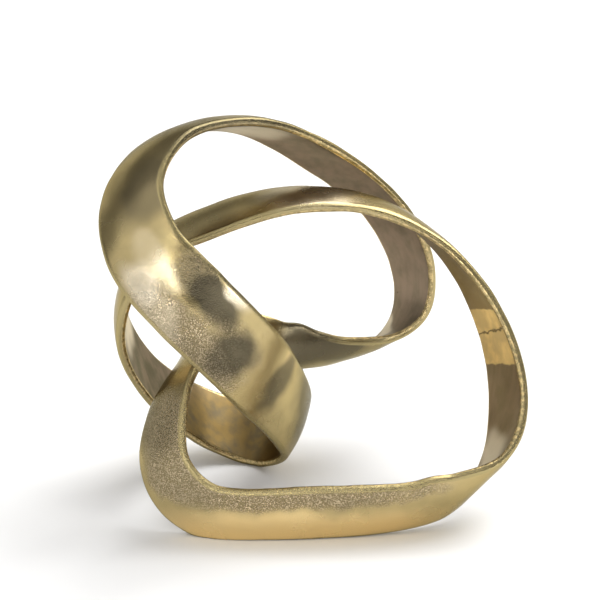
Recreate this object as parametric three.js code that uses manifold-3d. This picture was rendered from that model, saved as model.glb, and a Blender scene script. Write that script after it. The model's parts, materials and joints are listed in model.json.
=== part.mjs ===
// A knotted band: a standing table sculpture, cast in nine open sections that are welded end to end
// into one closed, twisting band. Millimetres, +Z up, the front of the sculpture faces -Y.
import * as THREE from "three";
import { LoftGeometry } from "three/addons/geometries/LoftGeometry.js";
import { mergeVertices } from "three/addons/utils/BufferGeometryUtils.js";
import Module from "manifold-3d";

// Size of the box that the band's centre line fills.
const LOOP_WIDTH = 207;
const LOOP_DEPTH = 134;
const LOOP_HEIGHT = 187;

// The band. Its width at each station is a share of the widest place, the middle of the sash.
const BAND_WIDTH = 44;
const BAND_THICKNESS = 7; // in the middle, where the outer side is crowned
const RIM_THICKNESS = 4.8;
const RIM_ROUNDING = 1.6;
const INNER_HOLLOW = 0.4;

// The welds, and the open space between a weld and the casting on each side of it.
const WELD_LENGTH = 4;
const SEAM_GAP = 0.25;

// How much is ground off the lower edges where the sculpture stands.
const GROUND_OFF = 0.8;

const STEPS_PER_STATION = 7;
const CROWN_POINTS = 6;
const RIM_POINTS = 2;

const SATIN_GOLD = { color: 0xb59a5b, roughness: 0.38, metalness: 1 };
const WELD_GOLD = { color: 0xc4a660, roughness: 0.3, metalness: 1 };

// The route, from the top down the front: centre, direction the crowned side faces, share of the width.
// Stations that stand are lowered or raised until their lower rim meets the table.
const STATIONS = [
  { name: "crown", at: [-35, 20, 202], face: [0.03, 0.42, 0.91], share: 0.8 },
  { name: "shoulder_top", at: [-74, -6, 202], face: [-0.42, 0.07, 0.9], share: 0.85 },
  { name: "shoulder", at: [-91, -34, 183], face: [-0.57, -0.5, 0.65], share: 0.9 },
  { name: "sash_top", at: [-84, -54, 158], face: [-0.23, -0.9, 0.38], share: 0.95 },
  { name: "sash_middle", at: [-60, -62, 132], face: [0.25, -0.96, 0.16], share: 1 },
  { name: "sash_low", at: [-32, -48, 95], face: [0.56, -0.82, -0.15], share: 0.98 },
  { name: "fold_in", at: [-14, -19, 59], face: [0.87, -0.46, -0.18], share: 0.92 },
  { name: "fold", at: [-10, 18, 27], face: [0.91, -0.05, -0.42], share: 0.88 },
  { name: "fold_out", at: [-27, 41, 15], face: [0.38, 0.48, -0.79], share: 0.89, stands: true },
  { name: "sweep_middle", at: [-59, 46, 21], face: [-0.53, 0.47, -0.71], share: 0.88 },
  { name: "sweep_left", at: [-90, 22, 57], face: [-0.91, 0.15, -0.4], share: 0.8 },
  { name: "sweep_up", at: [-102, 2, 100], face: [-1, -0.05, 0.03], share: 0.8 },
  { name: "behind_sash", at: [-87, -4, 137], face: [-0.72, -0.1, 0.69], share: 0.76 },
  { name: "arch_left", at: [-57, 7, 151], face: [-0.23, -0.17, 0.96], share: 0.73 },
  { name: "arch_top", at: [-12, 18, 161], face: [-0.02, -0.03, 1], share: 0.76 },
  { name: "arch_right", at: [34, 22, 156], face: [0.32, 0.13, 0.94], share: 0.76 },
  { name: "limb_top", at: [71, 18, 133], face: [0.69, 0.34, 0.64], share: 0.76 },
  { name: "limb_middle", at: [97, 4, 95], face: [0.88, 0.45, 0.16], share: 0.78 },
  { name: "limb_low", at: [105, -15, 58], face: [0.91, 0.37, -0.22], share: 0.86 },
  { name: "corner", at: [96.5, -37, 34], face: [0.8, -0.1, -0.56], share: 0.86 },
  { name: "run_right", at: [67, -54, 20.6], face: [0.37, -0.84, -0.4], share: 0.79 },
  { name: "run_middle", at: [4, -64, 17], face: [0.06, -0.96, -0.26], share: 0.8, stands: true },
  { name: "run_left", at: [-56, -62, 20], face: [-0.23, -0.95, -0.21], share: 0.86, stands: true },
  { name: "heel", at: [-76, -54, 37], face: [-0.66, -0.74, 0.09], share: 0.88 },
  { name: "riser", at: [-75, -36, 65], face: [-0.8, -0.3, 0.52], share: 0.84 },
  { name: "riser_top", at: [-62, -12, 83], face: [-0.64, 0.1, 0.76], share: 0.73 },
  { name: "link", at: [-42, 14, 85], face: [0.3, -0.3, 0.9], share: 0.69 },
  { name: "bowl_left", at: [-16, 39, 68], face: [0.47, -0.84, -0.1], share: 0.63 },
  { name: "bowl_middle", at: [13, 57, 58], face: [0.21, -0.7, -0.68], share: 0.71 },
  { name: "bowl_right", at: [41, 67, 62], face: [0.56, -0.25, -0.79], share: 0.76 },
  { name: "rear_low", at: [56, 70, 82], face: [0.85, 0.45, -0.28], share: 0.82 },
  { name: "rear_limb", at: [55.5, 69, 107], face: [0.72, 0.66, 0.22], share: 0.84 },
  { name: "rear_top", at: [42, 62, 138], face: [0.44, 0.74, 0.5], share: 0.76 },
  { name: "rear_crown", at: [11, 45, 172], face: [0.2, 0.72, 0.66], share: 0.73 },
];

// Where the band is cut: a seam lies past the named station, by this share of the way to the next.
const SEAMS = [
  { weld: "crown_weld", past: "crown", by: 0.1, casting: "shoulder_casting" },
  { weld: "sash_weld", past: "sash_middle", by: 0.7, casting: "fold_casting" },
  { weld: "sweep_weld", past: "sweep_middle", by: 0.5, casting: "sweep_casting" },
  { weld: "arch_weld", past: "arch_left", by: 0.3, casting: "arch_casting" },
  { weld: "limb_weld", past: "limb_middle", by: 0.1, casting: "corner_casting" },
  { weld: "run_weld", past: "run_right", by: 0.2, casting: "heel_casting" },
  { weld: "link_weld", past: "link", by: 0, casting: "link_casting" },
  { weld: "bowl_weld", past: "bowl_left", by: 0.7, casting: "rear_casting" },
  { weld: "rear_weld", past: "rear_top", by: 0.8, casting: "crown_casting" },
];

const COUNT = STATIONS.length;

function closedCurve(points) {
  return new THREE.CatmullRomCurve3(points, true, "centripetal");
}

// The stations' centres, stretched to the loop's own sizes.
function stretchedCentres() {
  const points = STATIONS.map((station) => new THREE.Vector3(...station.at));
  const drawn = new THREE.Box3().setFromPoints(points).getSize(new THREE.Vector3());
  const stretch = new THREE.Vector3(LOOP_WIDTH, LOOP_DEPTH, LOOP_HEIGHT).divide(drawn);
  return points.map((point) => point.multiply(stretch));
}

const facing = closedCurve(STATIONS.map((station) => new THREE.Vector3(...station.face).normalize()));
const width = closedCurve(STATIONS.map((station) => new THREE.Vector3(station.share * BAND_WIDTH, 0, 0)));

// The cross-section as [sideways, outward] pairs, from the first rim over the crowned outer side
// to the other rim and back along the slightly hollow inner side.
function sectionOutline(bandWidth) {
  const half = bandWidth / 2;
  const rim = RIM_THICKNESS / 2;
  const flat = half - RIM_ROUNDING;
  const outline = [];
  for (let i = 0; i <= CROWN_POINTS; i++) {
    const across = 1 - (2 * i) / CROWN_POINTS;
    outline.push([-flat * across, rim + (BAND_THICKNESS - RIM_THICKNESS) * (1 - across * across)]);
  }
  for (let i = 1; i <= RIM_POINTS; i++) {
    const turn = Math.PI / 2 - (i * Math.PI) / (RIM_POINTS + 1);
    outline.push([flat + RIM_ROUNDING * Math.cos(turn), rim * Math.sin(turn)]);
  }
  for (let i = 0; i <= CROWN_POINTS; i++) {
    const across = 1 - (2 * i) / CROWN_POINTS;
    outline.push([flat * across, -rim + INNER_HOLLOW * (1 - across * across)]);
  }
  for (let i = 1; i <= RIM_POINTS; i++) {
    const turn = -Math.PI / 2 - (i * Math.PI) / (RIM_POINTS + 1);
    outline.push([-flat + RIM_ROUNDING * Math.cos(turn), rim * Math.sin(turn)]);
  }
  return outline;
}

// The band's section at a place on the route; the place counts stations.
function sectionAt(route, place) {
  const t = THREE.MathUtils.euclideanModulo(place / COUNT, 1);
  const centre = route.getPoint(t);
  const along = route.getTangent(t);
  const out = facing.getPoint(t).projectOnPlane(along).normalize();
  const across = new THREE.Vector3().crossVectors(along, out);
  return sectionOutline(width.getPoint(t).x).map(([sideways, outward]) =>
    centre.clone().addScaledVector(across, sideways).addScaledVector(out, outward),
  );
}

function lowestOf(points) {
  return Math.min(...points.map((point) => point.z));
}

// The route with its standing stations moved up or down onto the table.
function standingRoute() {
  const centres = stretchedCentres();
  const loose = closedCurve(centres);
  STATIONS.forEach((station, index) => {
    if (station.stands) centres[index].z -= lowestOf(sectionAt(loose, index));
  });
  return closedCurve(centres);
}

const route = standingRoute();

// How far along the count of stations a length in millimetres reaches, near a place.
function stationsIn(length, place) {
  const near = 0.01;
  const from = route.getPoint(THREE.MathUtils.euclideanModulo((place - near) / COUNT, 1));
  const to = route.getPoint(THREE.MathUtils.euclideanModulo((place + near) / COUNT, 1));
  return (length * 2 * near) / from.distanceTo(to);
}

function loftBetween(start, end) {
  const steps = Math.max(1, Math.round((end - start) * STEPS_PER_STATION));
  const sections = [];
  for (let i = 0; i <= steps; i++) {
    sections.push(sectionAt(route, start + ((end - start) * i) / steps));
  }
  return new LoftGeometry(sections, { capStart: true, capEnd: true });
}

function placeOf(seam) {
  return STATIONS.findIndex((station) => station.name === seam.past) + seam.by;
}

function namedMesh(name, geometry, finish) {
  const mesh = new THREE.Mesh(geometry, new THREE.MeshStandardMaterial(finish));
  mesh.name = name;
  return mesh;
}

const wasm = await Module();
wasm.setup();

function solidFrom(geometry) {
  const plain = new THREE.BufferGeometry();
  plain.setAttribute("position", geometry.getAttribute("position"));
  plain.setIndex(geometry.index);
  const merged = mergeVertices(plain, 1e-3);
  return new wasm.Manifold(
    new wasm.Mesh({
      numProp: 3,
      vertProperties: merged.attributes.position.array,
      triVerts: new Uint32Array(merged.index.array),
    }),
  );
}

function geometryFrom(solid) {
  const mesh = solid.getMesh();
  const geometry = new THREE.BufferGeometry();
  geometry.setAttribute("position", new THREE.BufferAttribute(mesh.vertProperties, 3));
  geometry.setIndex(new THREE.BufferAttribute(mesh.triVerts, 1));
  geometry.computeVertexNormals();
  return geometry;
}

// Grinds a piece flat where it reaches below the level of the table.
function groundFlat(geometry, level) {
  geometry.computeBoundingBox();
  const box = geometry.boundingBox;
  if (box.min.z >= level) return geometry;
  const size = box.getSize(new THREE.Vector3()).addScalar(20);
  const below = new THREE.BoxGeometry(size.x, size.y, size.z);
  const middle = box.getCenter(new THREE.Vector3());
  below.translate(middle.x, middle.y, level - size.z / 2);
  return geometryFrom(solidFrom(geometry).subtract(solidFrom(below)));
}

// Every weld and casting of the closed band, in order along the route.
function bandPieces() {
  const pieces = [];
  SEAMS.forEach((seam, index) => {
    const here = placeOf(seam);
    const next = placeOf(SEAMS[(index + 1) % SEAMS.length]);
    const end = next > here ? next : next + COUNT;
    const weldReach = stationsIn(WELD_LENGTH / 2, here);
    const start = here + stationsIn(WELD_LENGTH / 2 + SEAM_GAP, here);
    const stop = end - stationsIn(WELD_LENGTH / 2 + SEAM_GAP, end);
    pieces.push([seam.weld, loftBetween(here - weldReach, here + weldReach), WELD_GOLD]);
    pieces.push([seam.casting, loftBetween(start, stop), SATIN_GOLD]);
  });
  return pieces;
}

const group = new THREE.Group();
group.name = "knotted_band";
for (const [name, geometry, finish] of bandPieces()) {
  group.add(namedMesh(name, groundFlat(geometry, GROUND_OFF), finish));
}

// Centred over the origin, with the ground edges at z = 0.
const bounds = new THREE.Box3().setFromObject(group);
const centre = bounds.getCenter(new THREE.Vector3());
group.position.set(-centre.x, -centre.y, -bounds.min.z);

export default group;
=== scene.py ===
"""Knotted band: a standing table sculpture of cast metal, finished in satin gold.

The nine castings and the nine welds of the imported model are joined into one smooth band, worked
over, and cut apart again at the same seams. Metres, +Z up, the front faces -Y.
"""

import json
import math

import bpy
import numpy as np
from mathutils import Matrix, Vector

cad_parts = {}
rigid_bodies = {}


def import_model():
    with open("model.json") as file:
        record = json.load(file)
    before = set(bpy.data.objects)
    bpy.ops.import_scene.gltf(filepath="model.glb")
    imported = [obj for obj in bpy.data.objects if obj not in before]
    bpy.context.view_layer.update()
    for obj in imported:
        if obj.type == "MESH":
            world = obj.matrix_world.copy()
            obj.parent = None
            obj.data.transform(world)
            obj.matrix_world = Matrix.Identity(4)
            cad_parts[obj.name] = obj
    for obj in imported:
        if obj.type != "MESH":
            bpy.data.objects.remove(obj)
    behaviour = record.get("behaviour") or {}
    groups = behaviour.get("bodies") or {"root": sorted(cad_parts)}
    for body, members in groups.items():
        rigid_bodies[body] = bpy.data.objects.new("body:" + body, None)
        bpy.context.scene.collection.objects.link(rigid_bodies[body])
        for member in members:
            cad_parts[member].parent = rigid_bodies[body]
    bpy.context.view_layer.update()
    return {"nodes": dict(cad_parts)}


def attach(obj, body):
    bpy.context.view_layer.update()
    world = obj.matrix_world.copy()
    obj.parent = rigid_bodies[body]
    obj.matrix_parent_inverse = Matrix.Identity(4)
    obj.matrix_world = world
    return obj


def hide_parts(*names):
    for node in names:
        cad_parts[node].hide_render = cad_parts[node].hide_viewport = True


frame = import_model()
CASTINGS = sorted(name for name in frame["nodes"] if name.endswith("_casting"))
WELDS = sorted(name for name in frame["nodes"] if name.endswith("_weld"))

bl_info = {
    "name": "Knotted Band Sculpture",
    "version": (1, 0, 0),
    "blender": (4, 5, 0),
    "location": "3D View > Sidebar > Knotted Band",
    "description": "Finishes the castings and welds of a knotted metal band in satin gold",
    "category": "Object",
}

UNBROKEN_BAND = "unbroken_band"
RIM_EDGE = math.radians(24)  # the faces of the band turn by more than this only along its rims
SEAM_REACH = 0.0006  # across the open space between a weld and a casting
VERTEX_REACH = 0.000005
QUAD_FLATNESS = math.radians(30)  # two triangles that bend less than this become a quad
QUAD_SKEW = math.radians(60)  # and its corners may be this far from square
OUTER_SIDE = Vector((-0.063, -0.075, 0.131))  # a place on the band's outer side
BLEND_ANGLE = math.radians(40)  # shading runs smoothly over edges flatter than this

# Places on the outer side, the inner side or the rims: centre, half lengths, turn about Y, and strength.
GRAINY_OUTSIDE = [
    ((-0.071, -0.074, 0.114), (0.060, 0.040, 0.019), 0.95, 1),
    ((-0.046, -0.068, 0.108), (0.040, 0.040, 0.024), 0.95, 0.5),
    ((-0.060, -0.067, 0.148), (0.020, 0.030, 0.014), 0.95, 0.5),
    ((-0.078, -0.062, 0.052), (0.026, 0.045, 0.034), 0, 1),
    ((-0.035, -0.072, 0.031), (0.078, 0.040, 0.018), 0, 1),
    ((0.035, -0.070, 0.031), (0.050, 0.040, 0.013), 0, 0.8),
]
# Dark places on the outer side: most are painted shade and dark reflections; the two on the bowl are brown
# tarnish.
SHADE_AND_TARNISH_OUTSIDE = [
    ((-0.059, -0.068, 0.146), (0.021, 0.030, 0.014), 0.95, 0.55),
    ((-0.051, -0.068, 0.133), (0.024, 0.030, 0.013), 0.95, 1.1),
    ((-0.044, -0.066, 0.103), (0.019, 0.030, 0.020), 0.95, 1.15),
    ((-0.066, -0.074, 0.108), (0.026, 0.030, 0.010), 0.95, 0.4),
    ((-0.019, -0.044, 0.080), (0.026, 0.030, 0.009), -0.98, 0.85),
    ((-0.086, -0.048, 0.186), (0.018, 0.030, 0.030), 0.5, 0.7),
    ((-0.066, -0.024, 0.208), (0.030, 0.030, 0.014), 0, 0.45),
    ((-0.002, 0.035, 0.068), (0.042, 0.040, 0.030), 0, 1),
    ((0.032, 0.052, 0.056), (0.036, 0.040, 0.022), 0, 0.5),
    ((-0.055, -0.008, 0.154), (0.020, 0.035, 0.016), 0, 0.25),
    ((-0.086, -0.052, 0.066), (0.024, 0.040, 0.036), 0, 0.6),
    ((-0.093, -0.050, 0.050), (0.015, 0.050, 0.048), 0, 0.15),
    ((-0.002, -0.008, 0.050), (0.018, 0.050, 0.046), 0, 0.85),
]
# Dark places on the inner side: painted dark reflections in streaks on the sweep, and a darkening low down
# near the floor.
SHADE_AND_DARKENING_INSIDE = [
    ((-0.094, 0.014, 0.064), (0.030, 0.040, 0.050), 0, 1),
    ((-0.050, 0.034, 0.018), (0.056, 0.034, 0.038), 0, 0.75),
    ((-0.005, 0.000, 0.020), (0.024, 0.040, 0.030), 0, 0.7),
]
# Painted shade: rims darkened in three places where they would catch a highlight.
SHADED_RIMS = [
    ((-0.008, 0.032, 0.078), (0.034, 0.040, 0.020), 0, 0.9),
    ((-0.045, -0.010, 0.211), (0.080, 0.070, 0.022), 0, 0.7),
    ((-0.045, -0.060, 0.150), (0.030, 0.030, 0.030), 0, 0.4),
]
# Painted highlights in warm gold: the floor's reflection along the foot of the front run, and one small
# spot.
WARM_HIGHLIGHTS_OUTSIDE = [
    ((-0.010, -0.075, 0.004), (0.150, 0.040, 0.020), 0, 0.95),
    ((-0.012, -0.036, 0.090), (0.009, 0.020, 0.012), 0, 0.7),
]
WARM_INSIDE = [
    ((-0.045, 0.030, 0.018), (0.065, 0.045, 0.040), 0, 1),
    ((0.098, -0.020, 0.060), (0.030, 0.040, 0.050), 0, 0.3),
    ((0.088, 0.006, 0.120), (0.034, 0.045, 0.042), 0, 0.65),
]
# Painted highlights in pale gold on the outer side.
PALE_HIGHLIGHTS_OUTSIDE = [
    ((-0.085, -0.067, 0.159), (0.014, 0.030, 0.010), 0.95, 0.25),
    ((-0.038, -0.063, 0.133), (0.014, 0.020, 0.007), 0.95, 0.9),
    ((-0.076, -0.071, 0.148), (0.016, 0.030, 0.010), 0.95, 0.35),
    ((-0.089, -0.072, 0.144), (0.016, 0.030, 0.012), 0.95, 0.8),
    ((-0.080, -0.075, 0.128), (0.024, 0.030, 0.010), 0.97, 0.35),
    ((-0.004, 0.006, 0.165), (0.036, 0.030, 0.014), 0, 0.7),
]
# Painted highlights in pale gold on the inner side.
PALE_HIGHLIGHTS_INSIDE = [
    ((-0.103, 0.000, 0.094), (0.009, 0.024, 0.026), 0, 0.9),
    ((0.093, -0.040, 0.034), (0.014, 0.030, 0.017), 0, 0.6),
    ((0.039, 0.065, 0.064), (0.017, 0.030, 0.008), 0, 0.75),
    ((-0.036, 0.014, 0.198), (0.028, 0.030, 0.012), 0, 0.5),
    ((0.045, 0.010, 0.160), (0.032, 0.030, 0.010), 0, 0.6),
]
# The inner face of the right limb was ground bright round its weld. The patch's borders and its crack lie
# in planes that lean, so each is given by a slope of height over depth and a level.
PATCH_LEAN = 0.4
PATCH_LEVELS = (0.0700, 0.1016)
PATCH_SIDE = 0.07
PATCH_RAGGED = 0.003
PATCH_BORDER = 0.001
CRACK_LEAN = 0.54
CRACK_LEVEL = 0.0887
CRACK_RAGGED = 0.005
CRACK_GAP = (0.0002, 0.0009)  # dark up to the first distance from its middle, gone by the second
# Where two castings met out of line at a weld and the rim steps up: place, height and reach.
RIM_STEPS = [
    ((0.060, -0.071, 0.034), 0.0012, 0.012),
    ((-0.008, 0.032, 0.078), 0.0019, 0.012),
]

# Sizes of the patterns in the finish.
CLOUD_SIZE = 0.021
BLOTCH_SIZE = 0.012
BROKEN_SIZE = 0.010
STREAK_SIZE = 0.004
STREAK_DRAW = (1, 1, 0.1)  # streaks are drawn out upwards
RAGGED_SIZE = 0.005
EDGE_DOT_SIZE = 0.0022
PITTED_SIZE = 0.03
PITS_PER_METRE = 70.0
DRIFT_SIZE = 0.016
DRIFT_REACH = 0.0035
# Where a stored value starts to count and where it counts in full.
RIM_LEVELS = (0.84, 0.98)
OUTER_LEVELS = (0.3, 0.7)
INNER_EDGE_LEVELS = (0.1, 0.4)
PLACE_LEVELS = (0.03, 0.6)
EDGE_TINT = (0.6, 0.58, 0.5, 1)  # how gold reflects at a glancing angle

# The stage. Each light has a place, a size, and the studio setting for its power.
STAGE_LIGHTS = [
    ("key_light", (-1.25, -1.5, 1.6), (3.0, 3.0), "key"),
    ("top_light", (1.0, 0.9, 1.9), (2.0, 2.0), "top"),
    ("front_light", (-0.25, -2.2, 0.5), (0.5, 0.6), "front"),
    ("side_light", (1.85, -1.25, 0.42), (0.35, 0.5), "front"),
]
LIGHTS_AIM = Vector((0, 0, 0.1))
FLOOR_SIZE = 12
FLOOR_HEIGHT = -0.0002  # just under the uneven feet
CAMERA_ORBITS = Vector((-0.0029, -0.0079, 0.0942))
CAMERA_AIM = Vector((-0.0093, -0.0023, 0.1081))
WALL = (0.17, 0.165, 0.16)
BACKDROP = (1, 1, 1)
CEILING = (0.5, 0.5, 0.5)


class BandShape(bpy.types.PropertyGroup):
    """How the band's surface is worked."""

    smoothing: bpy.props.IntProperty(
        name="Smoothing", description="How often each face of the band is divided", default=2, min=1, max=3
    )
    rim_hold: bpy.props.FloatProperty(
        name="Rim hold",
        description="How crisp the long edges of the rims stay",
        default=0.5,
        min=0,
        max=1,
        subtype="FACTOR",
    )
    unevenness: bpy.props.FloatProperty(
        name="Unevenness",
        description="How far finishing by hand leaves the surface out of true",
        default=0.0009,
        unit="LENGTH",
    )
    wave: bpy.props.FloatProperty(
        name="Wave", description="Width of the low waves in the surface", default=0.024, unit="LENGTH"
    )


class GoldFinish(bpy.types.PropertyGroup):
    """The colours and the textures of the plated metal."""

    outer: bpy.props.FloatVectorProperty(
        name="Outer gold",
        description="Satin gold of the crowned outer side",
        subtype="COLOR",
        size=3,
        default=(0.50, 0.395, 0.19),
    )
    olive: bpy.props.FloatVectorProperty(
        name="Olive tone",
        description="Darker tone that clouds the outer side",
        subtype="COLOR",
        size=3,
        default=(0.34, 0.28, 0.14),
    )
    inner: bpy.props.FloatVectorProperty(
        name="Inner bronze",
        description="Dull brown of the inner side, which is polished less",
        subtype="COLOR",
        size=3,
        default=(0.25, 0.186, 0.13),
    )
    rim: bpy.props.FloatVectorProperty(
        name="Rim gold",
        description="Gold of the polished rims",
        subtype="COLOR",
        size=3,
        default=(0.39, 0.32, 0.155),
    )
    # Painted highlight colour: the floor's reflection along the foot and the glint along the rims' inner
    # edges.
    warm: bpy.props.FloatVectorProperty(
        name="Warm gold",
        description="Brighter gold painted as the floor's reflection along the foot of the front run and as a glint along the inner edges of the rims",
        subtype="COLOR",
        size=3,
        default=(0.88, 0.67, 0.33),
    )
    # Painted highlight colour.
    pale: bpy.props.FloatVectorProperty(
        name="Pale gold",
        description="Pale gold painted where the metal shows a highlight",
        subtype="COLOR",
        size=3,
        default=(0.84, 0.73, 0.54),
    )
    tips: bpy.props.FloatVectorProperty(
        name="Grain tips",
        description="Rubbed metal on the tips of the sand grain",
        subtype="COLOR",
        size=3,
        default=(0.88, 0.72, 0.56),
    )
    bronze: bpy.props.FloatVectorProperty(
        name="Warm bronze",
        description="Redder brown inside the fold and the right limb",
        subtype="COLOR",
        size=3,
        default=(0.29, 0.193, 0.064),
    )
    ground: bpy.props.FloatVectorProperty(
        name="Ground patch",
        description="Bright gold of the patch that was ground clean inside the right limb",
        subtype="COLOR",
        size=3,
        default=(0.80, 0.56, 0.22),
    )
    hollows: bpy.props.FloatVectorProperty(
        name="Hollows",
        description="Dark brown left in the pits and in the crack",
        subtype="COLOR",
        size=3,
        default=(0.11, 0.08, 0.04),
    )
    # Also the colour of the painted shade and dark reflections.
    tarnish_and_shade: bpy.props.FloatVectorProperty(
        name="Tarnish and shade",
        description="Dull dark brown of unpolished plating, also painted as shade and dark reflections",
        subtype="COLOR",
        size=3,
        default=(0.13, 0.11, 0.07),
    )
    grain: bpy.props.FloatProperty(
        name="Grain", description="Size of the sand grain", default=0.0007, unit="LENGTH"
    )
    grain_depth: bpy.props.FloatProperty(
        name="Grain depth", description="Depth of the sand grain", default=0.00042, unit="LENGTH"
    )
    sheen: bpy.props.FloatProperty(
        name="Satin roughness",
        description="Roughness of the smooth satin places",
        default=0.23,
        min=0,
        max=1,
        subtype="FACTOR",
    )


class Studio(bpy.types.PropertyGroup):
    """The floor, the lights and the camera."""

    floor: bpy.props.FloatVectorProperty(
        name="Floor",
        description="Colour of the floor",
        subtype="COLOR",
        size=3,
        default=(0.92, 0.918, 0.912),
    )
    key: bpy.props.FloatProperty(
        name="Key light", description="Power of the key light", default=23, unit="POWER"
    )
    top: bpy.props.FloatProperty(
        name="Top light", description="Power of the top light", default=66, unit="POWER"
    )
    front: bpy.props.FloatProperty(
        name="Front lights", description="Power of each front light", default=7, unit="POWER"
    )
    room: bpy.props.FloatProperty(
        name="Room", description="Brightness of the room round the sculpture", default=1.0, min=0
    )
    distance: bpy.props.FloatProperty(
        name="Camera distance", description="From the camera to the sculpture", default=1.2, unit="LENGTH"
    )
    elevation: bpy.props.FloatProperty(
        name="Camera elevation",
        description="How far the camera looks down",
        default=math.radians(22),
        subtype="ANGLE",
    )
    lens: bpy.props.FloatProperty(
        name="Lens", description="Focal length of the camera", default=134.6, unit="CAMERA"
    )


class Field:
    """A value that changes over a surface. Arithmetic on it adds Math nodes."""

    def __init__(self, recipe, socket):
        self.recipe = recipe
        self.socket = socket

    def _math(self, operation, first, second):
        return self.recipe.node("ShaderNodeMath", {"operation": operation}, {0: first, 1: second})

    def __add__(self, other):
        return self._math("ADD", self, other)

    def __sub__(self, other):
        return self._math("SUBTRACT", self, other)

    def __rsub__(self, other):
        return self._math("SUBTRACT", other, self)

    def __mul__(self, other):
        return self._math("MULTIPLY", self, other)

    __radd__ = __add__
    __rmul__ = __mul__


class Recipe:
    """The nodes of one material or of the room."""

    def __init__(self, tree):
        self.tree = tree
        tree.nodes.clear()

    def node(self, kind, settings=None, inputs=None, output=0):
        """Adds a node: its settings first, then the values or the links of its sockets."""
        made = self.tree.nodes.new(kind)
        for name, value in (settings or {}).items():
            setattr(made, name, value)
        for name, value in (inputs or {}).items():
            if isinstance(value, Field):
                self.tree.links.new(value.socket, made.inputs[name])
            else:
                made.inputs[name].default_value = value
        return Field(self, made.outputs[output]) if made.outputs else None

    def blend(self, share, first, second):
        """The first colour where share is 0 and the second where it is 1."""
        first, second = (c if isinstance(c, Field) else (*c, 1) for c in (first, second))
        return self.node("ShaderNodeMix", {"data_type": "RGBA"}, {0: share, 6: first, 7: second}, output=2)

    def rise(self, value, low, high):
        """0 below low, 1 above high, and smooth between them."""
        return self.node(
            "ShaderNodeMapRange",
            {"interpolation_type": "SMOOTHSTEP"},
            {"Value": value, "From Min": low, "From Max": high},
        )

    def noise(self, place, size, detail=2.0):
        """Soft noise whose lumps are about size metres across."""
        return self.node("ShaderNodeTexNoise", None, {"Vector": place, "Scale": 1 / size, "Detail": detail})

    def blot(self, place, centre, halves, turn):
        """1 at the centre of a turned ellipsoid, and 0 outside it."""
        inside = self.node(
            "ShaderNodeMapping",
            {"vector_type": "TEXTURE"},
            {"Vector": place, "Location": centre, "Rotation": turn, "Scale": halves},
        )
        settings = {"gradient_type": "SPHERICAL"}
        return self.node("ShaderNodeTexGradient", settings, {"Vector": inside}, output=1)

    def drifted(self, place, size, reach):
        """The place moved by up to about reach, so that what is drawn on it has an uneven outline."""
        lumps = {"Vector": place, "Scale": 1 / size, "Detail": 1.0}
        drift = self.node("ShaderNodeTexNoise", {"normalize": False}, lumps, output=1)
        steps = {0: drift, 1: (reach, reach, reach), 2: place}
        return self.node("ShaderNodeVectorMath", {"operation": "MULTIPLY_ADD"}, steps)

    def attribute(self, name):
        return self.node("ShaderNodeAttribute", {"attribute_name": name}, output=2)


def select_only(*objects):
    """Leaves only these objects selected, with the last one active."""
    bpy.ops.object.select_all(action="DESELECT")
    for thing in objects:
        thing.select_set(True)
    bpy.context.view_layer.objects.active = objects[-1]


def pick(thing, parts, wanted):
    """Opens a mesh for editing with only the wanted "vertices" or "polygons" selected."""
    bpy.context.tool_settings.mesh_select_mode = (parts == "vertices", False, parts == "polygons")
    select_only(thing)
    bpy.ops.object.mode_set(mode="EDIT")
    bpy.ops.mesh.select_all(action="DESELECT")
    bpy.ops.object.mode_set(mode="OBJECT")
    getattr(thing.data, parts).foreach_set("select", wanted)
    bpy.ops.object.mode_set(mode="EDIT")


def store_selected(thing, name):
    """Keeps which points are selected as a number on each point, which smoothing then blends."""
    bpy.ops.object.mode_set(mode="OBJECT")
    chosen = np.zeros(len(thing.data.vertices), bool)
    thing.data.vertices.foreach_get("select", chosen)
    kept = thing.data.attributes.new(name, "FLOAT", "POINT")
    kept.data.foreach_set("value", chosen.astype(np.float32))
    bpy.ops.object.mode_set(mode="EDIT")


def joined_copies(names):
    """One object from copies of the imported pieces, with a marker material for each piece."""
    copies = []
    for name in names:
        copy = bpy.data.objects.new(name + "_copy", frame["nodes"][name].data.copy())
        bpy.context.collection.objects.link(copy)
        copy.data.materials.clear()
        copy.data.materials.append(bpy.data.materials.new("mark_" + name))
        copies.append(copy)
    select_only(*copies)
    bpy.ops.object.join()
    band = bpy.context.object
    band.name = UNBROKEN_BAND
    return band


def open_seams(band):
    """Removes the faces that look at each other across the seams."""
    bpy.context.view_layer.update()
    facing = []
    for face in band.data.polygons:
        start = face.center + face.normal * VERTEX_REACH
        facing.append(band.ray_cast(start, face.normal, distance=SEAM_REACH)[0])
    pick(band, "polygons", facing)
    bpy.ops.mesh.delete(type="FACE")


def select_open_edges():
    bpy.ops.mesh.select_mode(type="EDGE")
    bpy.ops.mesh.select_all(action="DESELECT")
    bpy.ops.mesh.select_non_manifold(
        use_wire=False, use_boundary=True, use_multi_face=False, use_non_contiguous=False, use_verts=False
    )


def close_seams(band):
    """Draws the open ends of neighbouring pieces together into one closed skin of quads."""
    bpy.ops.mesh.select_all(action="SELECT")
    bpy.ops.mesh.remove_doubles(threshold=VERTEX_REACH)
    select_open_edges()
    bpy.ops.mesh.remove_doubles(threshold=SEAM_REACH)
    select_open_edges()
    bpy.ops.object.mode_set(mode="OBJECT")
    if any(edge.select for edge in band.data.edges):
        raise RuntimeError("the band has an open seam")
    bpy.ops.object.mode_set(mode="EDIT")
    bpy.ops.mesh.select_all(action="SELECT")
    bpy.ops.mesh.tris_convert_to_quads(face_threshold=QUAD_FLATNESS, shape_threshold=QUAD_SKEW)
    bpy.ops.mesh.normals_make_consistent(inside=False)


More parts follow.
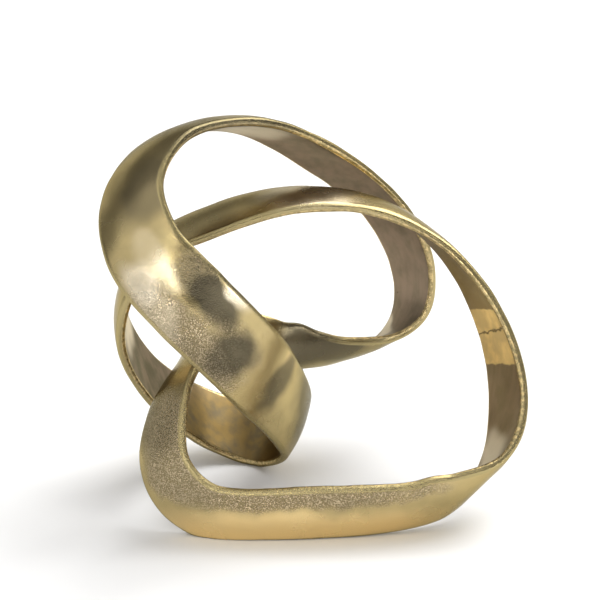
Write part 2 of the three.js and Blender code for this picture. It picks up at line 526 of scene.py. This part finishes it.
def mark_sides(band, rim_hold):
    """Holds the rims' edges, and records which points lie on a rim and which on the outer side."""
    bpy.ops.mesh.select_mode(type="EDGE")
    bpy.ops.mesh.select_all(action="DESELECT")
    bpy.ops.mesh.edges_select_sharp(sharpness=RIM_EDGE)
    bpy.ops.transform.edge_crease(value=rim_hold)
    bpy.ops.mesh.mark_sharp()
    store_selected(band, "rim")
    bpy.ops.object.mode_set(mode="OBJECT")
    front = min(band.data.polygons, key=lambda face: (face.center - OUTER_SIDE).length)
    pick(band, "polygons", [face.index == front.index for face in band.data.polygons])
    bpy.ops.mesh.select_linked(delimit={"SHARP"})
    store_selected(band, "outer")
    bpy.ops.mesh.select_all(action="SELECT")
    bpy.ops.mesh.mark_sharp(clear=True)
    bpy.ops.object.mode_set(mode="OBJECT")


def apply_modifier(thing, kind, **settings):
    select_only(thing)
    bpy.ops.object.modifier_add(type=kind)
    added = thing.modifiers[-1]
    for name, value in settings.items():
        setattr(added, name, value)
    bpy.ops.object.modifier_apply(modifier=added.name)


def soften(band, shape):
    """Smooths the band and leaves it very slightly uneven."""
    apply_modifier(
        band,
        "SUBSURF",
        levels=shape.smoothing,
        render_levels=shape.smoothing,
        boundary_smooth="PRESERVE_CORNERS",
    )
    waves = bpy.data.textures.new("hand_finish", "CLOUDS")
    waves.noise_scale = shape.wave
    waves.noise_depth = 1
    apply_modifier(
        band, "DISPLACE", texture=waves, texture_coords="LOCAL", strength=shape.unevenness, mid_level=0.5
    )
    bpy.data.textures.remove(waves)


def step_rims(band):
    """Lifts the rim a little at the welds where the castings met out of line."""
    points = np.empty(len(band.data.vertices) * 3)
    band.data.vertices.foreach_get("co", points)
    for place, height, reach in RIM_STEPS:
        away = np.linalg.norm(points.reshape(-1, 3) - place, axis=1)
        pick(band, "vertices", np.arange(len(away)) == away.argmin())
        bpy.ops.transform.translate(
            value=(0, 0, height),
            use_proportional_edit=True,
            use_proportional_connected=True,
            proportional_edit_falloff="SMOOTH",
            proportional_size=reach,
        )
        bpy.ops.object.mode_set(mode="OBJECT")


def cut_apart(band):
    """Cuts the band at its seams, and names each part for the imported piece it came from."""
    select_only(band)
    bpy.ops.object.mode_set(mode="EDIT")
    bpy.ops.mesh.select_all(action="SELECT")
    bpy.ops.mesh.separate(type="MATERIAL")
    bpy.ops.object.mode_set(mode="OBJECT")
    for part in list(bpy.context.selected_objects):
        mark = part.data.materials[part.data.polygons[0].material_index]
        part.name = mark.name.removeprefix("mark_") + "_finished"
        part.data.name = part.name


def finish_piece(name, material):
    """Closes one part of the band, gives it its finish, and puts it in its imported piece's place."""
    part = bpy.data.objects[name + "_finished"]
    select_only(part)
    bpy.ops.object.mode_set(mode="EDIT")
    select_open_edges()
    bpy.ops.mesh.fill_holes(sides=0)
    bpy.ops.mesh.select_all(action="SELECT")
    bpy.ops.mesh.normals_make_consistent(inside=False)
    bpy.ops.object.mode_set(mode="OBJECT")
    part.data.materials.clear()
    part.data.materials.append(material)
    part.data.polygons.foreach_set("material_index", np.zeros(len(part.data.polygons), np.int32))
    bpy.ops.object.shade_smooth_by_angle(angle=BLEND_ANGLE)
    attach(part, "root")
    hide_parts(name)


class GoldSurface:
    """What varies over the plated metal: its sides, its rims, its grain and its marks, and the highlights
    and shade painted into its colour.
    """

    def __init__(self, recipe, finish):
        self.recipe = recipe
        self.finish = finish
        self.place = recipe.node("ShaderNodeTexCoord", output=3)
        self.uneven = recipe.drifted(self.place, DRIFT_SIZE, DRIFT_REACH)
        self.side = recipe.attribute("outer")
        self.rim = recipe.rise(recipe.attribute("rim"), *RIM_LEVELS)
        self.outer = recipe.rise(self.side, *OUTER_LEVELS)
        self.inner = (1 - self.outer) * (1 - self.rim)
        self.clouds = recipe.rise(recipe.noise(self.place, CLOUD_SIZE, 3), 0.38, 0.66)
        self.blotches = recipe.rise(recipe.noise(self.place, BLOTCH_SIZE, 4), 0.42, 0.68)
        self.broken = recipe.noise(self.place, BROKEN_SIZE, 3)
        # Breaks up the painted highlights unevenly.
        self.glinting = recipe.rise(self.broken, 0.02, 0.36)
        self.grit = recipe.rise(recipe.noise(self.place, finish.grain, 3), 0.4, 0.6)
        grainy = recipe.rise(self.among(GRAINY_OUTSIDE) + (self.broken - 0.5) * 0.9, 0.05, 1.0)
        self.grainy = grainy * self.outer * (1 - self.rim * 0.8)
        self.patch, self.crack = self.ground_patch()
        dots = recipe.node("ShaderNodeTexVoronoi", None, {"Vector": self.place, "Scale": PITS_PER_METRE})
        pitted = recipe.rise(recipe.noise(self.place, PITTED_SIZE, 1), 0.58, 0.66)
        self.pits = (1 - recipe.rise(dots, 0.02, 0.05)) * pitted

    def among(self, places):
        """1 in the middle of the listed places, falling softly and unevenly to 0 outside them."""
        total = 0.0
        for centre, halves, turn, strength in places:
            near = self.recipe.blot(self.uneven, centre, halves, (0, turn, 0))
            total = self.recipe.rise(near, *PLACE_LEVELS) * strength + total
        return total

    def ground_patch(self):
        """The bright ground patch round the right limb's weld, on the inner side, and the crack in it."""
        recipe = self.recipe
        across, depth, height = (
            recipe.node("ShaderNodeSeparateXYZ", None, {"Vector": self.place}, output=axis)
            for axis in range(3)
        )
        ragged = recipe.noise(self.place, RAGGED_SIZE, 3) - 0.5
        level = height + depth * PATCH_LEAN + ragged * PATCH_RAGGED
        low, high = PATCH_LEVELS
        above_foot = recipe.rise(level, low, low + PATCH_BORDER)
        patch = above_foot * (1 - recipe.rise(level, high, high + PATCH_BORDER))
        patch = patch * recipe.rise(across, PATCH_SIDE, PATCH_SIDE + PATCH_BORDER * 2) * self.inner
        above = height + depth * CRACK_LEAN + ragged * CRACK_RAGGED - CRACK_LEVEL
        gap = recipe.node("ShaderNodeMath", {"operation": "ABSOLUTE"}, {0: above})
        return patch, (1 - recipe.rise(gap, *CRACK_GAP)) * patch

    def outside_color(self):
        blend, finish = self.recipe.blend, self.finish
        color = blend(self.clouds * 0.35, finish.outer, finish.olive)
        # Painted warm highlights.
        color = blend(self.among(WARM_HIGHLIGHTS_OUTSIDE), color, finish.warm)
        color = blend(self.grainy * self.grit * 0.42, color, finish.tips)
        color = blend(self.grainy * (1 - self.grit) * 0.5, color, finish.tarnish_and_shade)
        # Painted shade and dark reflections, and brown tarnish on the bowl.
        shade_and_stain = self.among(SHADE_AND_TARNISH_OUTSIDE) * (1 - self.grit * self.grainy * 0.4)
        color = blend(shade_and_stain, color, finish.tarnish_and_shade)
        # Painted pale highlights.
        return blend(self.among(PALE_HIGHLIGHTS_OUTSIDE) * self.glinting, color, finish.pale)

    def inside_color(self):
        recipe, blend, finish = self.recipe, self.recipe.blend, self.finish
        drawn = recipe.node("ShaderNodeMapping", None, {"Vector": self.place, "Scale": STREAK_DRAW})
        streaks = recipe.rise(recipe.noise(drawn, STREAK_SIZE, 3), 0.35, 0.7)
        color = blend(self.blotches * 0.35 + streaks * 0.3, finish.inner, finish.tarnish_and_shade)
        color = blend(self.among(WARM_INSIDE), color, finish.bronze)
        # Painted dark reflections and a darkening low down.
        shade_and_stain = self.among(SHADE_AND_DARKENING_INSIDE) * (self.blotches * 0.4 + streaks * 0.5 + 0.3)
        color = blend(shade_and_stain, color, finish.tarnish_and_shade)
        # Painted pale highlights.
        color = blend(self.among(PALE_HIGHLIGHTS_INSIDE) * self.glinting, color, finish.pale)
        color = blend(self.patch * (0.6 + self.blotches * 0.4), color, finish.ground)
        return blend(self.crack * 0.8, color, finish.hollows)

    def color(self, rim_polish):
        """Both sides, then the rims with a glint painted along their inner edge and shade painted on three
        of them, then the pits.
        """
        recipe, blend, finish = self.recipe, self.recipe.blend, self.finish
        color = blend(self.outer, self.inside_color(), self.outside_color())
        color = blend(self.rim * rim_polish, color, finish.rim)
        dots = recipe.rise(recipe.noise(self.place, EDGE_DOT_SIZE, 2), 0.42, 0.62)
        edge_glint = self.rim * (1 - recipe.rise(self.side, *INNER_EDGE_LEVELS))
        # A glint painted along the rims' inner edge.
        color = blend(edge_glint * (dots * 0.55 + 0.1), color, finish.warm)
        # Painted shade on three rims.
        color = blend(self.among(SHADED_RIMS) * self.rim, color, finish.tarnish_and_shade)
        return blend(self.pits * 0.7, color, finish.hollows)

    def roughness(self):
        return self.clouds * 0.05 + self.finish.sheen + self.grainy * 0.02 + self.inner * 0.13

    def bump(self):
        fine = self.recipe.noise(self.place, self.finish.grain * 0.4, 1)
        grain = self.grit * (self.grainy * 0.9 + 0.015 + self.rim * 0.08) + fine * 0.1
        height = grain - self.pits * 0.6 - self.crack * 0.8
        inputs = {"Strength": 1.0, "Distance": self.finish.grain_depth, "Height": height}
        return self.recipe.node("ShaderNodeBump", None, inputs)


def gold_material(name, finish, rim_polish):
    """Satin gold plating: grainy or dull in places, brown on the inner side, bright on the rims, with
    highlights and shade painted into its colour.
    """
    material = bpy.data.materials.new(name)
    material.use_nodes = True
    recipe = Recipe(material.node_tree)
    surface = GoldSurface(recipe, finish)
    shader = recipe.node(
        "ShaderNodeBsdfPrincipled",
        None,
        {
            "Base Color": surface.color(rim_polish),
            "Metallic": 1.0,
            "Roughness": surface.roughness(),
            "Specular Tint": EDGE_TINT,
            "Normal": surface.bump(),
        },
    )
    recipe.node("ShaderNodeOutputMaterial", None, {"Surface": shader})
    return material


def matt_floor(studio):
    bpy.ops.mesh.primitive_plane_add(size=FLOOR_SIZE, location=(0, 0, FLOOR_HEIGHT))
    floor = bpy.context.object
    floor.name = "studio_floor"
    paint = bpy.data.materials.new("pale_floor")
    paint.use_nodes = True
    recipe = Recipe(paint.node_tree)
    inputs = {"Base Color": (*studio.floor, 1), "Roughness": 0.75}
    shader = recipe.node("ShaderNodeBsdfPrincipled", None, inputs)
    recipe.node("ShaderNodeOutputMaterial", None, {"Surface": shader})
    floor.data.materials.append(paint)


def area_light(name, place, size, power):
    turn = (LIGHTS_AIM - Vector(place)).to_track_quat("-Z", "Y").to_euler()
    bpy.ops.object.light_add(type="AREA", location=place, rotation=turn)
    light = bpy.context.object
    light.name = name
    light.data.shape = "RECTANGLE"
    light.data.size, light.data.size_y = size
    light.data.energy = power


def studio_room(studio):
    """Grey walls with a white backdrop low behind the sculpture and a paler ceiling."""
    room = bpy.data.worlds.new("studio_room")
    room.use_nodes = True
    recipe = Recipe(room.node_tree)
    toward = recipe.node("ShaderNodeTexCoord", output=0)
    rear = recipe.node("ShaderNodeSeparateXYZ", None, {"Vector": toward}, output=1)
    height = recipe.node("ShaderNodeSeparateXYZ", None, {"Vector": toward}, output=2)
    behind = recipe.rise(rear, 0.1, 0.6) * (1 - recipe.rise(height, 0.16, 0.4))
    walls = recipe.blend(behind, WALL, BACKDROP)
    walls = recipe.blend(recipe.rise(height, 0.4, 0.75), walls, CEILING)
    light = recipe.node("ShaderNodeBackground", None, {"Color": walls, "Strength": studio.room})
    recipe.node("ShaderNodeOutputWorld", None, {"Surface": light})
    return room


def studio_camera(studio):
    back = Vector((0, -math.cos(studio.elevation), math.sin(studio.elevation)))
    place = CAMERA_ORBITS + back * studio.distance
    turn = (CAMERA_AIM - place).to_track_quat("-Z", "Y").to_euler()
    bpy.ops.object.camera_add(location=place, rotation=turn)
    camera = bpy.context.object
    camera.name = "studio_camera"
    camera.data.lens = studio.lens
    camera.data.sensor_width = 36
    camera.data.clip_start = 0.01
    return camera


class KNOT_OT_form_band(bpy.types.Operator):
    """Join copies of the castings and welds into one smooth band, and cut it at the seams"""

    bl_idname = "knot.form_band"
    bl_label = "Form the Band"

    def execute(self, context):
        shape = context.scene.knot_shape
        band = joined_copies(CASTINGS + WELDS)
        open_seams(band)
        close_seams(band)
        mark_sides(band, shape.rim_hold)
        soften(band, shape)
        step_rims(band)
        cut_apart(band)
        return {"FINISHED"}


class KNOT_OT_finish_castings(bpy.types.Operator):
    """Close the nine castings and give them their satin gold"""

    bl_idname = "knot.finish_castings"
    bl_label = "Finish the Castings"

    def execute(self, context):
        gold = gold_material("satin_gold_plating", context.scene.knot_finish, 0.8)
        for name in CASTINGS:
            finish_piece(name, gold)
        return {"FINISHED"}


class KNOT_OT_finish_welds(bpy.types.Operator):
    """Close the nine welds and give them their slightly brighter gold"""

    bl_idname = "knot.finish_welds"
    bl_label = "Finish the Welds"

    def execute(self, context):
        gold = gold_material("weld_gold_plating", context.scene.knot_finish, 0.95)
        for name in WELDS:
            finish_piece(name, gold)
        return {"FINISHED"}


class KNOT_OT_set_stage(bpy.types.Operator):
    """Set the pale floor, the soft lights and the camera"""

    bl_idname = "knot.set_stage"
    bl_label = "Set the Stage"

    def execute(self, context):
        studio = context.scene.knot_studio
        matt_floor(studio)
        for name, place, size, power in STAGE_LIGHTS:
            area_light(name, place, size, getattr(studio, power))
        context.scene.world = studio_room(studio)
        context.scene.camera = studio_camera(studio)
        context.scene.view_settings.view_transform = "Standard"
        return {"FINISHED"}


class KNOT_PT_sculpture(bpy.types.Panel):
    """Sizes, colours and steps of the knotted band"""

    bl_idname = "KNOT_PT_sculpture"
    bl_label = "Knotted Band"
    bl_space_type = "VIEW_3D"
    bl_region_type = "UI"
    bl_category = "Knotted Band"

    def draw(self, context):
        for group in (context.scene.knot_shape, context.scene.knot_finish, context.scene.knot_studio):
            box = self.layout.box()
            for name in group.__annotations__:
                box.prop(group, name)
        for step in STEPS:
            self.layout.operator(step.bl_idname)


STEPS = (KNOT_OT_form_band, KNOT_OT_finish_castings, KNOT_OT_finish_welds, KNOT_OT_set_stage)
CLASSES = (BandShape, GoldFinish, Studio, *STEPS, KNOT_PT_sculpture)


def register():
    for each in CLASSES:
        bpy.utils.register_class(each)
    bpy.types.Scene.knot_shape = bpy.props.PointerProperty(type=BandShape)
    bpy.types.Scene.knot_finish = bpy.props.PointerProperty(type=GoldFinish)
    bpy.types.Scene.knot_studio = bpy.props.PointerProperty(type=Studio)


def unregister():
    del bpy.types.Scene.knot_studio
    del bpy.types.Scene.knot_finish
    del bpy.types.Scene.knot_shape
    for each in reversed(CLASSES):
        bpy.utils.unregister_class(each)


def main():
    register()
    bpy.ops.knot.form_band()
    bpy.ops.knot.finish_castings()
    bpy.ops.knot.finish_welds()
    bpy.ops.knot.set_stage()


if __name__ == "__main__":
    main()
